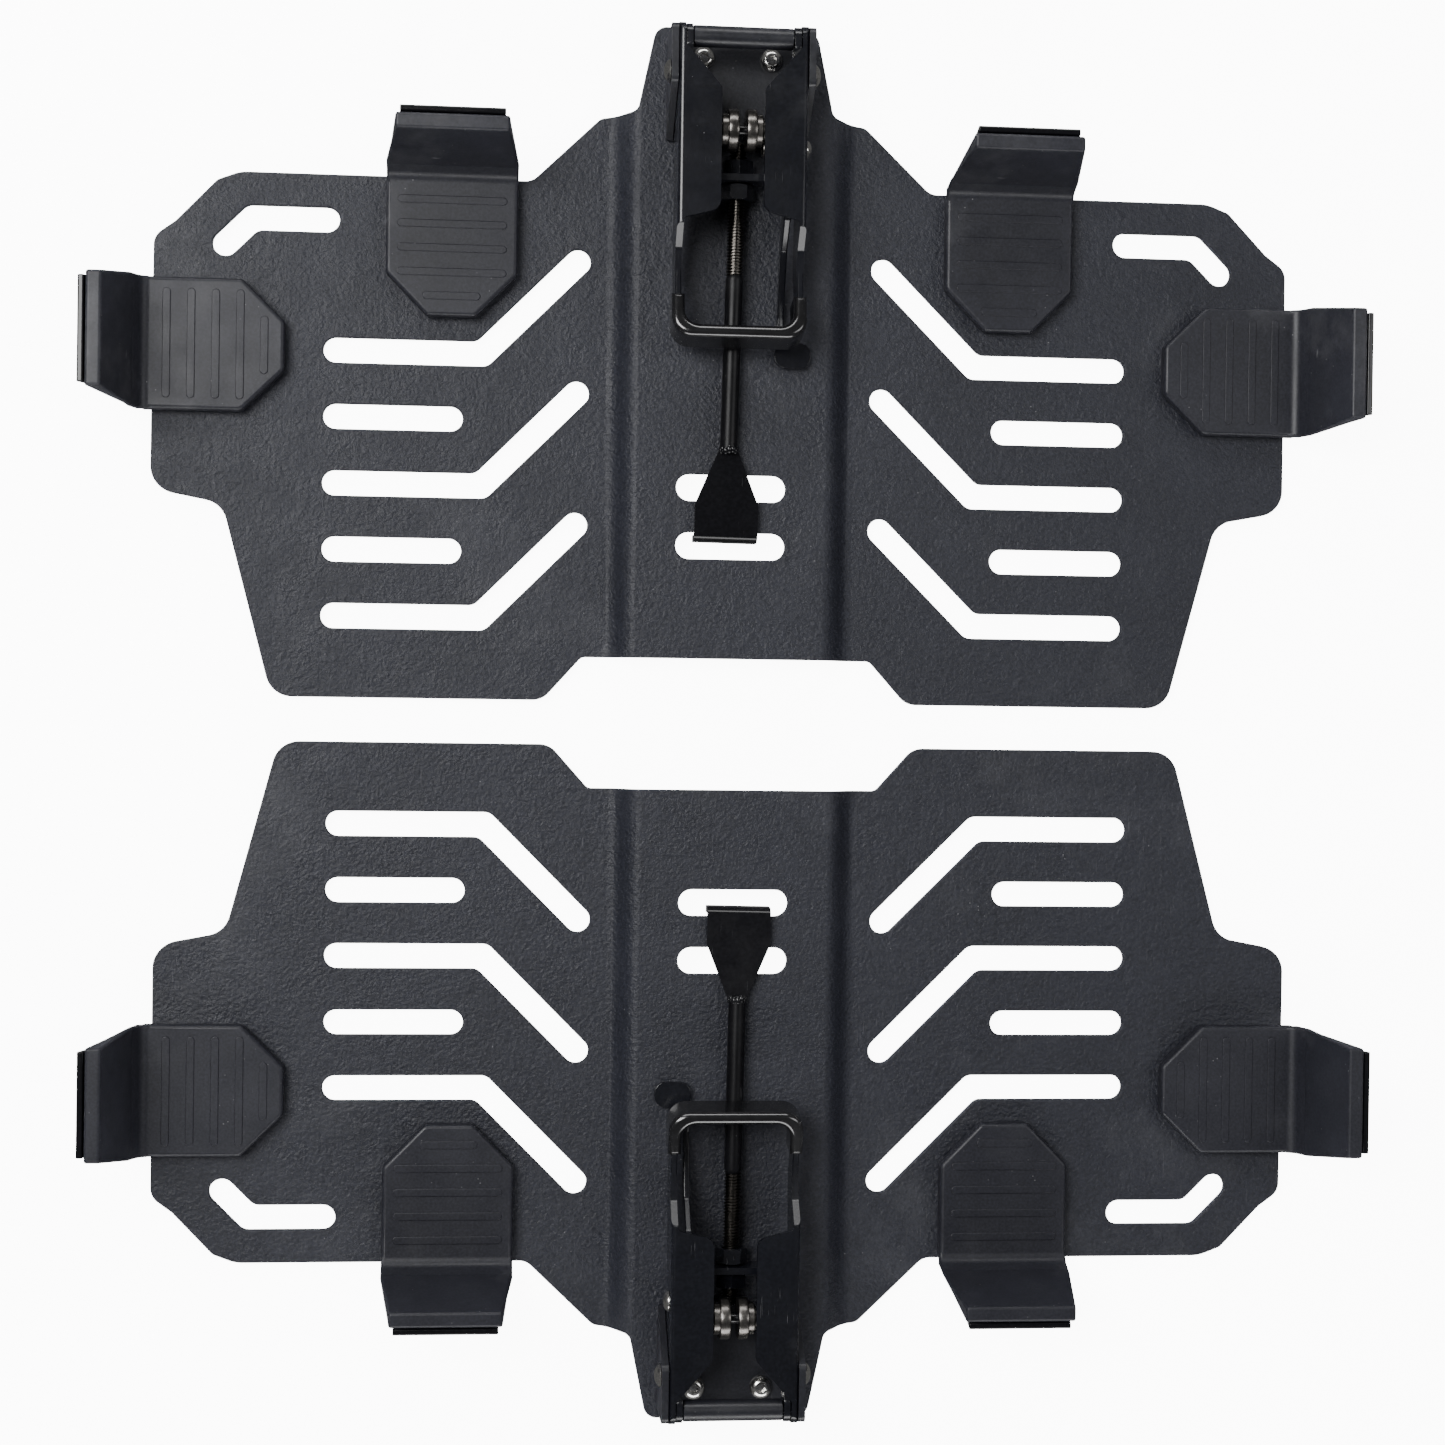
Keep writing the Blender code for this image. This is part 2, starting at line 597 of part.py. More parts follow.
def main():
    for obj in list(bpy.data.objects):
        bpy.data.objects.remove(obj)
    collection = bpy.data.collections.new(SET_NAME)
    bpy.context.scene.collection.children.link(collection)
    pieces = unit_pieces()
    place_unit("rear", pieces, 0.0, -PAIR_OFFSET / 2, collection)
    place_unit("front", pieces, pi, PAIR_OFFSET / 2, collection)
    for shape in {entry[1] for entry in pieces}:
        bpy.data.objects.remove(shape)
    bpy.context.view_layer.update()


main()
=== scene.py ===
from math import atan2, cos, pi, radians, sin, tan

import bmesh
import bpy
from mathutils import Matrix, Vector

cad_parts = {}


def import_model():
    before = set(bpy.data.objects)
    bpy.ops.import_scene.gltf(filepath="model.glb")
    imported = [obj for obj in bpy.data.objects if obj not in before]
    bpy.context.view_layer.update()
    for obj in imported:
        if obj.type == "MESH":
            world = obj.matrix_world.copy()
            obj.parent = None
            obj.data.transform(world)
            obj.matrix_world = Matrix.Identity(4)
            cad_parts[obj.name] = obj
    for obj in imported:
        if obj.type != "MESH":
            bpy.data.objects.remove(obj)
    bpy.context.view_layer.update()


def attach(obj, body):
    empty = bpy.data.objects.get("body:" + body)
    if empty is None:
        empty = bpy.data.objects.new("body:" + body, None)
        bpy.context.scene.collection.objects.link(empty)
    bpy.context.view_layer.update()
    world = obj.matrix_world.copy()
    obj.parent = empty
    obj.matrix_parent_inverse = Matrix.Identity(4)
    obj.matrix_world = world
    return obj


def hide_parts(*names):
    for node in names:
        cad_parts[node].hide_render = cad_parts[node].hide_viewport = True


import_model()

MM = 0.001
WELD = 0.00001                           # metres, points closer than this are merged
UNITS = {"rear": (0.0, -1.8), "front": (pi, 1.8)}      # turn about Z, shift in x

# Places and sizes below are in mm, on the rear unit. Pairs are (y, z).
SEAT = 4.35                              # underside of straps and boots
PAD_TOP, LIP_TOP = 12.0, 54.0            # boot
HALF_BOOT, NARROWED = 29.5, 4.9          # half width, and what its lip loses of it
PIVOT, TUBE = (289.0, 38.5), (304.4, 40.5)
SPOOL, TRIGGER_PIN = (264.0, 38.2), (256.4, 37.2)
LEVER_TOP, WALL_IN, WALL_OUT, WING_IN = 46.8, 25.8, 28.7, 9.6
KINK_Y, KINK_Z, TILT = 204.0, 28.5, 13.0
WEB_LOW, WEB_HIGH, ROD_Z = 242.9, 245.9, 23.4
WEB_MID = (WEB_LOW + WEB_HIGH) / 2
SCREW_X, SCREW_Y = 15.4, 300.6
SLOT_WIDTH = 11.4
ROD_SLOPE, ROD_SKEW = 2.1, 0.9           # degrees
SHANK, THREAD_ROOT, THREAD_CREST, PITCH = 3.95, 3.06, 3.93, 1.4
ROD_FOOT, THREAD_START, ROD_END = 124.4, 201.0, 261.8
FLOOR_HALF, FLOOR_GLOW = 9.0, 10.0       # metres, emission strength
SHARP_ANGLE = 30                         # degrees, edges above it stay crisp
CRISP = 0.01                             # rim radius of a sheet that is cut or softened later


# ------------------------------------------------------------ outlines

def arc_corner(before, corner, after, radius, steps):
    """Points of the arc that rounds one corner, shortened where the sides are short."""
    p, a, b = Vector(corner), Vector(before), Vector(after)
    d1, d2 = (a - p).normalized(), (b - p).normalized()
    half = d1.angle(d2) / 2
    reach = min(radius / tan(half), 0.49 * (a - p).length, 0.49 * (b - p).length)
    radius = reach * tan(half)
    centre = p + (d1 + d2).normalized() * (radius / sin(half))
    start, end = p + d1 * reach - centre, p + d2 * reach - centre
    turn = atan2(start.x * end.y - start.y * end.x, start.dot(end))
    a0 = atan2(start.y, start.x)
    return [(centre.x + radius * cos(a0 + turn * k / steps),
             centre.y + radius * sin(a0 + turn * k / steps)) for k in range(steps + 1)]


def rounded(corners, steps=8):
    """Outline from corners (x, y) or (x, y, radius)."""
    points = []
    for k, corner in enumerate(corners):
        x, y = corner[:2]
        radius = corner[2] if len(corner) > 2 else 0
        if radius:
            before, after = corners[k - 1][:2], corners[(k + 1) % len(corners)][:2]
            points += arc_corner(before, (x, y), after, radius, steps)
        else:
            points.append((x, y))
    return points


def slot(path, width, steps=14):
    """Outline of a round-ended slot along a straight or once bent path."""
    r = width / 2
    p = [Vector(q) for q in path]
    run = []
    for line in (p, p[::-1]):
        normals = []
        for a, b in zip(line, line[1:]):
            d = (b - a).normalized()
            normals.append(Vector((d.y, -d.x)))
        first, last = line[0] + normals[0] * r, line[-1] + normals[-1] * r
        run.append((first.x, first.y, 0))
        if len(line) == 3:
            mid = (normals[0] + normals[1]).normalized()
            bend = line[1] + mid * (r / mid.dot(normals[0]))
            run.append((bend.x, bend.y, 6))
        run.append((last.x, last.y, 0))
        a0 = atan2(normals[-1].y, normals[-1].x)
        run += [(line[-1].x + r * cos(a0 + pi * k / steps),
                 line[-1].y + r * sin(a0 + pi * k / steps), 0) for k in range(1, steps)]
    return rounded(run, 6)


def circle(x, y, r, steps=28):
    return [(x + r * cos(2 * pi * k / steps), y + r * sin(2 * pi * k / steps))
            for k in range(steps)]


# ------------------------------------------------------------ solids

PLANES = {
    "XY": Matrix.Identity(4),
    "YZ": Matrix(((0, 0, 1, 0), (1, 0, 0, 0), (0, 1, 0, 0), (0, 0, 0, 1))),
    "XZ": Matrix(((1, 0, 0, 0), (0, 0, -1, 0), (0, 1, 0, 0), (0, 0, 0, 1)))}


def link(data, name="shape"):
    made = bpy.data.objects.new(name, data)
    bpy.context.scene.collection.objects.link(made)
    return made


def to_mesh(obj, weld=WELD):
    """Applies modifiers and place, merges points and gives a new mesh object."""
    bpy.context.view_layer.update()
    evaluated = obj.evaluated_get(bpy.context.evaluated_depsgraph_get())
    mesh = bpy.data.meshes.new_from_object(evaluated)
    mesh.transform(obj.matrix_world)
    bm = bmesh.new()
    bm.from_mesh(mesh)
    bmesh.ops.remove_doubles(bm, verts=bm.verts, dist=weld)
    bmesh.ops.dissolve_limit(bm, angle_limit=radians(0.1), verts=bm.verts, edges=bm.edges)
    bmesh.ops.recalc_face_normals(bm, faces=bm.faces)
    bm.to_mesh(mesh)
    bm.free()
    bpy.data.objects.remove(obj)
    return link(mesh)


def sheet(outlines, low, high, plane="XY", edge=0.4, steps=2):
    """Flat outlines (first solid, others holes) from low to high, with rounded rims."""
    curve = bpy.data.curves.new("outline", "CURVE")
    curve.dimensions = "2D"
    curve.fill_mode = "BOTH"
    curve.extrude = ((high - low) / 2 - edge) * MM
    curve.bevel_depth = edge * MM
    curve.bevel_resolution = steps
    curve.offset = -edge * MM
    for outline in outlines:
        spline = curve.splines.new("POLY")
        spline.points.add(len(outline) - 1)
        for point, (x, y) in zip(spline.points, outline):
            point.co = (x * MM, y * MM, 0, 1)
        spline.use_cyclic_u = True
    obj = link(curve)
    obj.matrix_world = PLANES[plane] @ Matrix.Translation((0, 0, (high + low) / 2 * MM))
    return to_mesh(obj)


def turned(profile, steps=40, axis="X", at=(0, 0, 0), pitch=0.0, turns=1):
    """Turns a profile of (radius, height) about an axis, or winds it with a pitch."""
    mesh = bpy.data.meshes.new("profile")
    points = [(r * MM, 0, h * MM) for r, h in profile]
    mesh.from_pydata(points, [(k, k + 1) for k in range(len(points) - 1)], [])
    obj = link(mesh)
    screw = obj.modifiers.new("turn", "SCREW")
    screw.steps = screw.render_steps = steps
    screw.screw_offset = pitch * MM
    screw.iterations = turns
    screw.use_merge_vertices = True
    screw.merge_threshold = WELD
    spin = {"X": Matrix.Rotation(pi / 2, 4, "Y"), "Z": Matrix.Identity(4),
            "Y": Matrix.Rotation(-pi / 2, 4, "X")}
    obj.matrix_world = Matrix.Translation([c * MM for c in at]) @ spin[axis]
    return to_mesh(obj, 2 * WELD if turns > 1 else WELD)


def capped(shape):
    """Closes the open ends of a helical sweep."""
    bm = bmesh.new()
    bm.from_mesh(shape.data)
    bmesh.ops.holes_fill(bm, edges=[edge for edge in bm.edges if edge.is_boundary])
    bmesh.ops.recalc_face_normals(bm, faces=bm.faces)
    bm.to_mesh(shape.data)
    bm.free()
    return shape


def boolean(target, other, operation="DIFFERENCE"):
    modifier = target.modifiers.new("cut", "BOOLEAN")
    modifier.operation = operation
    modifier.solver = "EXACT"
    modifier.object = other
    made = to_mesh(target)
    bpy.data.objects.remove(other)
    return made


def drill(shape, radius, y, z, low=-60, high=60):
    return boolean(shape, turned([(0, high), (radius, high), (radius, low), (0, low)], 32,
                                 "X", (0, y, z)))


def soften(shape, width, segments=3, limit=32):
    modifier = shape.modifiers.new("soften", "BEVEL")
    modifier.width = width * MM
    modifier.segments = segments
    modifier.limit_method = "ANGLE"
    modifier.angle_limit = radians(limit)
    return to_mesh(shape, WELD / 5)


def joined(*shapes):
    bm = bmesh.new()
    for shape in shapes:
        bm.from_mesh(shape.data)
        bpy.data.objects.remove(shape)
    mesh = bpy.data.meshes.new("joined")
    bm.to_mesh(mesh)
    bm.free()
    return link(mesh)


def mirrored(shape):
    mesh = shape.data.copy()
    mesh.transform(Matrix.Scale(-1, 4, (1, 0, 0)))
    mesh.flip_normals()
    return link(mesh)


# ------------------------------------------------------------ materials

def shader(name, color, rough, metallic=0.0, grain=0.0, grain_scale=900.0, mottle=0.0,
           dust=0.0, scratch=0.0, coat=0.0, seed=0.0, spec=0.5, relief=0.00012):
    """Procedural finish: base colour with mottling, dust, scratches and fine grain."""
    mat = bpy.data.materials.new(name)
    mat.use_nodes = True
    tree = mat.node_tree
    nodes, links = tree.nodes, tree.links
    bsdf = nodes["Principled BSDF"]
    bsdf.inputs["Metallic"].default_value = metallic
    bsdf.inputs["Specular IOR Level"].default_value = spec
    bsdf.inputs["Coat Weight"].default_value = coat
    bsdf.inputs["Coat Roughness"].default_value = 0.12
    coords = nodes.new("ShaderNodeTexCoord")
    shift = nodes.new("ShaderNodeVectorMath")
    shift.operation = "ADD"
    shift.inputs[1].default_value = (seed * 0.37, seed * 0.21, seed * 0.11)
    links.new(coords.outputs["Object"], shift.inputs[0])
    where = shift.outputs[0]

    def noise(scale, detail=3.0, stretch=None, roughness=0.55):
        """Noise over the piece; stretch is a scale and a rotation."""
        source = where
        if stretch:
            mapping = nodes.new("ShaderNodeMapping")
            mapping.inputs["Scale"].default_value = stretch[0]
            mapping.inputs["Rotation"].default_value = stretch[1]
            links.new(source, mapping.inputs["Vector"])
            source = mapping.outputs["Vector"]
        tex = nodes.new("ShaderNodeTexNoise")
        tex.inputs["Scale"].default_value = scale
        tex.inputs["Detail"].default_value = detail
        tex.inputs["Roughness"].default_value = roughness
        links.new(source, tex.inputs["Vector"])
        return tex.outputs["Fac"]

    def remap(value, lo, hi, out_lo, out_hi):
        ramp = nodes.new("ShaderNodeMapRange")
        ramp.inputs["From Min"].default_value = lo
        ramp.inputs["From Max"].default_value = hi
        ramp.inputs["To Min"].default_value = out_lo
        ramp.inputs["To Max"].default_value = out_hi
        links.new(value, ramp.inputs["Value"])
        return ramp.outputs["Result"]

    def math(op, a, b):
        node = nodes.new("ShaderNodeMath")
        node.operation = op
        for socket, value in zip(node.inputs, (a, b)):
            if isinstance(value, float):
                socket.default_value = value
            else:
                links.new(value, socket)
        return node.outputs[0]

    def mix(factor, a, b):
        node = nodes.new("ShaderNodeMix")
        node.data_type = "RGBA"
        links.new(factor, node.inputs["Factor"])
        for socket, value in ((node.inputs[6], a), (node.inputs[7], b)):
            if isinstance(value, tuple):
                socket.default_value = (*value, 1)
            else:
                links.new(value, socket)
        return node.outputs[2]

    light = tuple(min(1, c * (1 + 0.9 * mottle)) for c in color)
    dark = tuple(c * (1 - 0.45 * mottle) for c in color)
    shade = mix(remap(noise(22.0, 5.0), 0.32, 0.68, 0, 1), dark, light)
    fine = mix(remap(noise(grain_scale * 1.3, 2.0), 0.35, 0.7, 0, 1),
               tuple(c * 0.55 for c in color), tuple(min(1, c * 1.9) for c in color))
    blend = nodes.new("ShaderNodeMix")
    blend.data_type = "RGBA"
    blend.inputs["Factor"].default_value = 0.45
    links.new(shade, blend.inputs[6])
    links.new(fine, blend.inputs[7])
    shade = blend.outputs[2]
    roughness = remap(noise(60.0, 4.0), 0.3, 0.7, rough * 0.86, rough * 1.16)
    if dust:
        specks = nodes.new("ShaderNodeTexVoronoi")
        specks.inputs["Scale"].default_value = 260.0
        links.new(where, specks.inputs["Vector"])
        spots = remap(specks.outputs["Distance"], 0.05, 0.09, 1, 0)
        spots = math("MULTIPLY", spots, remap(noise(38.0, 2.0), 0.56, 0.7, 0, 1))
        haze = remap(noise(9.0, 6.0, roughness=0.7), 0.55, 0.85, 0, 0.22)
        film = math("MAXIMUM", spots, haze)
        film = math("MULTIPLY", film, dust)
        shade = mix(film, shade, (0.30, 0.30, 0.31))
        roughness = math("ADD", roughness, math("MULTIPLY", film, 0.25))
    if scratch:
        lines = noise(60.0, 2.0, ((40.0, 1.2, 1.0), (0.0, 0.0, 0.6)), roughness=0.5)
        marks = remap(lines, 0.70, 0.74, 0, 1)
        marks = math("MULTIPLY", marks, remap(noise(30.0, 2.0), 0.55, 0.66, 0, 1))
        marks = math("MULTIPLY", marks, scratch)
        shade = mix(marks, shade, (0.22, 0.22, 0.23))
    links.new(shade, bsdf.inputs["Base Color"])
    links.new(roughness, bsdf.inputs["Roughness"])
    if grain:
        bump = nodes.new("ShaderNodeBump")
        bump.inputs["Strength"].default_value = grain
        bump.inputs["Distance"].default_value = relief
        height = math("ADD", noise(grain_scale, roughness=0.6),
                      math("MULTIPLY", noise(grain_scale * 0.28, 2.0), 0.6))
        links.new(height, bump.inputs["Height"])
        links.new(bump.outputs["Normal"], bsdf.inputs["Normal"])
    return mat


def finishes(seed):
    """All finishes of one unit; the seed keeps the two units from looking alike."""
    return {
        "powder_coat": shader("powder_coat", (0.0105, 0.0112, 0.0158), 0.44, grain=1.0,
                              grain_scale=620.0, mottle=0.3, dust=0.35, scratch=0.2,
                              seed=seed, spec=0.27, relief=0.0006),
        "black_steel": shader("black_steel", (0.0030, 0.0030, 0.0038), 0.15, grain=0.12,
                              grain_scale=500.0, mottle=0.5, dust=0.22, scratch=0.3,
                              seed=seed + 3, spec=0.3),
        "boot_rubber": shader("boot_rubber", (0.0105, 0.0108, 0.0145), 0.42, grain=0.25,
                              grain_scale=700.0, mottle=0.35, dust=0.6, scratch=0.3,
                              seed=seed + 5, spec=0.27),
        "satin_steel": shader("satin_steel", (0.008, 0.0083, 0.011), 0.36, grain=0.5,
                              grain_scale=620.0, mottle=0.3, dust=0.6, scratch=0.2,
                              seed=seed + 2, spec=0.36, relief=0.00015),
        "lever_black": shader("lever_black", (0.0034, 0.0037, 0.0054), 0.22, grain=0.1,
                              grain_scale=500.0, mottle=0.5, dust=0.3, scratch=0.4,
                              seed=seed + 4, spec=0.42),
        "rod_black": shader("rod_black", (0.0030, 0.0030, 0.0036), 0.34, grain=0.12,
                            grain_scale=500.0, mottle=0.5, dust=0.3, scratch=0.3,
                            seed=seed + 6, spec=0.12),
        "thread_steel": shader("thread_steel", (0.065, 0.06, 0.054), 0.26, 1.0, grain=0.1,
                               grain_scale=800.0, mottle=0.5, seed=seed + 12),
        "dipped_vinyl": shader("dipped_vinyl", (0.0035, 0.0035, 0.004), 0.2, grain=0.15,
                               grain_scale=260.0, mottle=0.3, dust=0.2, coat=0.5,
                               seed=seed + 7),
        "stainless": shader("stainless", (0.60, 0.585, 0.55), 0.2, 1.0, grain=0.12,
                            grain_scale=1500.0, mottle=0.25, scratch=0.2, seed=seed + 9),
        "dark_collar": shader("dark_collar", (0.10, 0.094, 0.088), 0.28, 1.0, grain=0.15,
                              grain_scale=800.0, mottle=0.5, scratch=0.3, seed=seed + 11)}


# ------------------------------------------------------------ plate

OUTLINE = [(36.7, 315.0, 6), (44.6, 277.0, 4), (60.8, 274.8, 6), (91.6, 245.3, 8),
           (222.0, 245.3, 18), (232.2, 241.4, 5), (250.4, 222.4, 3), (260.0, 215.4, 8),
           (260.3, 102.5, 12), (228.5, 96.5, 12), (205.7, 10.0, 12), (84.0, 10.0, 10),
           (66.3, 29.8, 4)]


def plate_slots():
    outlines = []
    for side in (-1, 1):
        for row in range(3):
            y = 166.5 - 59.8 * row
            outlines.append(slot([(side * 178.6, y), (side * 113.1, y),
                                  (side * 70.2, y + 42.9)], SLOT_WIDTH))
        for row in range(2):
            y = 136.7 - 59.8 * row
            outlines.append(slot([(side * 178.4, y), (side * 127.2, y)], SLOT_WIDTH))
        outlines.append(slot([(side * 183.4, 224.9), (side * 216.4, 224.9),
                              (side * 228.3, 213.0)], SLOT_WIDTH))
    for y in (107.3, 81.0):
        outlines.append(slot([(-18.9, y), (18.9, y)], 12.2))
    return outlines


def rise(x):
    """Height of the sheet above the wings at a distance x, with rounded folds."""
    a, b, r = 45.5, 54.0, 3.4
    x = abs(x)
    slope = 1 / (b - a)

    def soft(t):
        if t < -r:
            return 0.0
        if t > r:
            return t
        return (t + r) ** 2 / (4 * r)
    return 10.0 * (1 - slope * (soft(x - a) - soft(x - b)))


def mounting_plate():
    full = OUTLINE + [(-x, y, r) for x, y, r in reversed(OUTLINE)]
    holes = plate_slots() + [circle(s * SCREW_X, SCREW_Y, 3.1) for s in (-1, 1)]
    shape = sheet([rounded(full, 10)] + holes, 0, 4.0, "XY", 0.45, 3)
    bm = bmesh.new()
    bm.from_mesh(shape.data)
    for side in (-1, 1):
        for k in range(17):
            x = side * (41.6 + k * 1.02)
            bmesh.ops.bisect_plane(bm, geom=bm.verts[:] + bm.edges[:] + bm.faces[:],
                                   plane_co=(x * MM, 0, 0), plane_no=(1, 0, 0))
    bmesh.ops.remove_doubles(bm, verts=bm.verts, dist=WELD)
    for vert in bm.verts:
        vert.co.z += rise(vert.co.x / MM) * MM
    bmesh.ops.dissolve_limit(bm, angle_limit=radians(0.05), verts=bm.verts, edges=bm.edges)
    bm.to_mesh(shape.data)
    bm.free()
    return shape


# ------------------------------------------------------------ hooks

def strap():
    profile = [(-45.0, SEAT, 0.6), (6.4, SEAT, 5), (23.0, 51.5, 1), (19.9, 51.5, 1),
               (4.2, SEAT + 3.0, 3), (-45.0, SEAT + 3.0, 0.6)]
    return sheet([rounded(profile, 10)], -23.0, 23.0, "XZ", 0.5)


def boot():
    """Moulded boot: a pad with a rolled rim, and a tapered wall over the hook's lip."""
    plan = [(-62.6, -10.9, 3), (-43.7, -HALF_BOOT, 4), (2.4, -HALF_BOOT, 3),
            (2.4, HALF_BOOT, 3), (-43.7, HALF_BOOT, 4), (-62.6, 10.9, 3)]
    pad = sheet([rounded(plan)], SEAT, PAD_TOP, "XY", 1.9, 4)
    under = [(-0.5, -40.0), (9.0, -40.0), (9.0, 40.0), (-0.5, 40.0)]
    pad = boolean(pad, sheet([under], 0.0, 8.3, "XY", CRISP, 0))
    profile = [(-3.4, 8.6), (3.1, 8.3), (19.6, LIP_TOP - 0.2, 1.6),
               (12.2, LIP_TOP - 0.2, 1.6), (7.0, 34.0, 30), (3.2, 19.5, 10),
               (0.4, 13.6, 5), (-3.4, PAD_TOP - 0.05)]
    wall = sheet([rounded(profile)], -HALF_BOOT, HALF_BOOT, "XZ", 1.3, 4)
    for vert in wall.data.vertices:
        share = max(0.0, (vert.co.z / MM - 24.0) / 30.0)
        vert.co.y *= 1 - share * NARROWED / HALF_BOOT
    pieces = [boolean(pad, wall, "UNION")]
    for k, u in enumerate((-10.6, -21.4, -32.2, -43.0, -53.6)):
        half = 24.5 if k < 4 else 13.0
        rib = slot([(u, -half + 1.8), (u, half - 1.8)], 3.6, 8)
        pieces.append(sheet([rib], PAD_TOP - 0.8, PAD_TOP + 0.42, "XY", 0.38, 3))
    crease = [(-1.6, -28.6), (-0.9, -28.6), (-0.9, 28.6), (-1.6, 28.6)]
    pieces.append(sheet([crease], PAD_TOP - 0.6, PAD_TOP + 0.5, "XY", 0.2, 1))
    return joined(*pieces)


# ------------------------------------------------------------ latch

def channel(half_out, half_in, low, thick, y0, y1, bend):
    """U-section bent sheet, open upwards."""
    top = 60
    section = [(-half_out, top), (-half_out, low, bend), (half_out, low, bend),
               (half_out, top), (half_in, top), (half_in, low + thick, 0.8),
               (-half_in, low + thick, 0.8), (-half_in, top)]
    return sheet([rounded(section, 10)], -y1, -y0, "XZ", CRISP, 0)


def latch_base():
    low, top = 14.3, 16.8
    shape = channel(32.0, 29.0, low, 2.5, 262.0, 310.0, 3.2)
    ear = [(263.0, low - 2), (309.4, low - 2), (309.4, 46.0, 3.5), (284.0, 46.0, 3.5),
           (263.0, top, 1.5)]
    shape = boolean(shape, sheet([rounded(ear)], -40, 40, "YZ", CRISP, 0), "INTERSECT")
    for side in (-1, 1):
        hole = turned([(0, 30), (3.1, 30), (3.1, 0), (0, 0)], 28, "Z",
                      (side * SCREW_X, SCREW_Y, 0))
        shape = boolean(shape, hole)
    shape = drill(shape, 2.85, *PIVOT)
    return soften(shape, 0.4, 2, 34)


def base_screw():
    seat = 16.85
    profile = [(0, seat + 3.0), (2.75, seat + 3.0), (3.0, seat + 2.95), (4.1, seat + 2.45),
               (4.8, seat + 1.6), (5.2, seat + 0.7), (5.25, seat), (2.7, seat), (2.7, 4.5),
               (0, 4.5)]
    shape = turned(profile, 40, "Z", (SCREW_X, SCREW_Y, 0))
    key = [(SCREW_X + 2.2 * cos(pi * k / 3 + 0.3), SCREW_Y + 2.2 * sin(pi * k / 3 + 0.3))
           for k in range(6)]
    shape = boolean(shape, sheet([key], seat + 1.1, seat + 6, "XY", CRISP, 0))
    return soften(shape, 0.15, 2, 40)


def pivot_rivet():
    profile = [(0, 35.0), (1.6, 34.9), (3.0, 34.45), (4.2, 33.7), (5.0, 32.85),
               (5.35, 32.3), (2.5, 32.3), (2.5, 26.1), (0, 26.1)]
    return turned(profile, 36, "X", (0, *PIVOT))


def handle(outer, inner, end, start, height, edge):
    """U-shaped bar that rises towards its front, used for the lever's bar and its grip."""
    thick = outer - inner
    plan = [(outer, start), (outer, end, 9), (-outer, end, 9), (-outer, start),
            (-inner, start), (-inner, end + thick, 6.5), (inner, end + thick, 6.5),
            (inner, start)]
    shape = sheet([rounded(plan, 10)], KINK_Z - height / 2, KINK_Z + height / 2, "XY",
                  edge, 4)
    centre = Matrix.Translation((0, KINK_Y * MM, KINK_Z * MM))
    turn = Matrix.Rotation(-radians(TILT), 4, "X")
    shape.data.transform(centre @ turn @ centre.inverted())
    return shape


def lever():
    end = TUBE[0] + 5.6
    side = [(end, LEVER_TOP, 5.6), (221.5, LEVER_TOP, 3), (211.0, 37.6, 4),
            (200.0, 36.2), (200.0, 21.4), (212.0, 21.6, 8), (240.0, 24.0, 10),
            (284.0, 27.0, 8), (297.0, 33.4, 8), (end, 34.6, 5.4)]
    section = [(WALL_OUT, 10), (WALL_OUT, LEVER_TOP - 0.2, 2.2), (4.0, LEVER_TOP - 0.2),
               (4.0, 44.0), (WALL_IN, 44.0, 0.6), (WALL_IN, 10)]
    plan = [(WALL_OUT + 1, 320), (WALL_IN, 320), (WALL_IN, 299.6, 1.5),
            (WING_IN, 281.2, 4), (WING_IN, 227.6, 5), (WALL_IN, 223.4, 2),
            (WALL_IN, 190), (WALL_OUT + 1, 190)]
    shape = sheet([rounded(section, 10)], -315, -195, "XZ", CRISP, 0)
    shape = boolean(shape, sheet([rounded(side)], 0, 40, "YZ", CRISP, 0), "INTERSECT")
    shape = boolean(shape, sheet([rounded(plan)], 0, 60, "XY", CRISP, 0), "INTERSECT")
    for spot in (PIVOT, TUBE, SPOOL):
        shape = drill(shape, 2.85, *spot)
    shape = soften(shape, 0.38, 2, 34)
    left = mirrored(shape)
    shape = drill(shape, 2.35, *TRIGGER_PIN)
    bar = handle(WALL_OUT - 0.05, WALL_IN + 0.05, 170.6, KINK_Y + 4, 14.6, 0.8)
    return joined(shape, left, bar)


def lever_grip():
    outside = handle(WALL_OUT + 1.5, WALL_IN - 1.5, 169.0, 189.0, 18.0, 2.75)
    inside = handle(WALL_OUT + 0.15, WALL_IN - 0.15, 170.3, 197.0, 15.4, 0.6)
    return boolean(outside, inside)


def yoke():
    y, z = TUBE
    arm = [(y + 5.2, z + 5.2, 5.1), (y + 5.2, z - 5.2, 5.1), (292.0, 32.0, 6),
           (266.0, 26.0, 6), (257.0, 19.0, 6), (236.0, 19.0), (236.0, 33.0),
           (264.0, 34.0, 6), (291.0, 41.3, 4), (299.6, z + 5.2, 3)]
    out, thick = 25.4, 2.8
    section = [(out, 320), (out, WEB_LOW, 3.4), (-out, WEB_LOW, 3.4), (-out, 320),
               (-out + thick, 320), (-out + thick, WEB_HIGH, 0.8),
               (out - thick, WEB_HIGH, 0.8), (out - thick, 320)]
    shape = sheet([rounded(section, 10)], 10, 50, "XY", CRISP, 0)
    shape = boolean(shape, sheet([rounded(arm)], -40, 40, "YZ", CRISP, 0), "INTERSECT")
    shape = drill(shape, 2.75, *TUBE)
    hole = turned([(0, 12), (4.5, 12), (4.5, -12), (0, -12)], 32, "Y",
                  (0, WEB_MID, ROD_Z))
    return soften(boolean(shape, hole), 0.38, 2, 34)


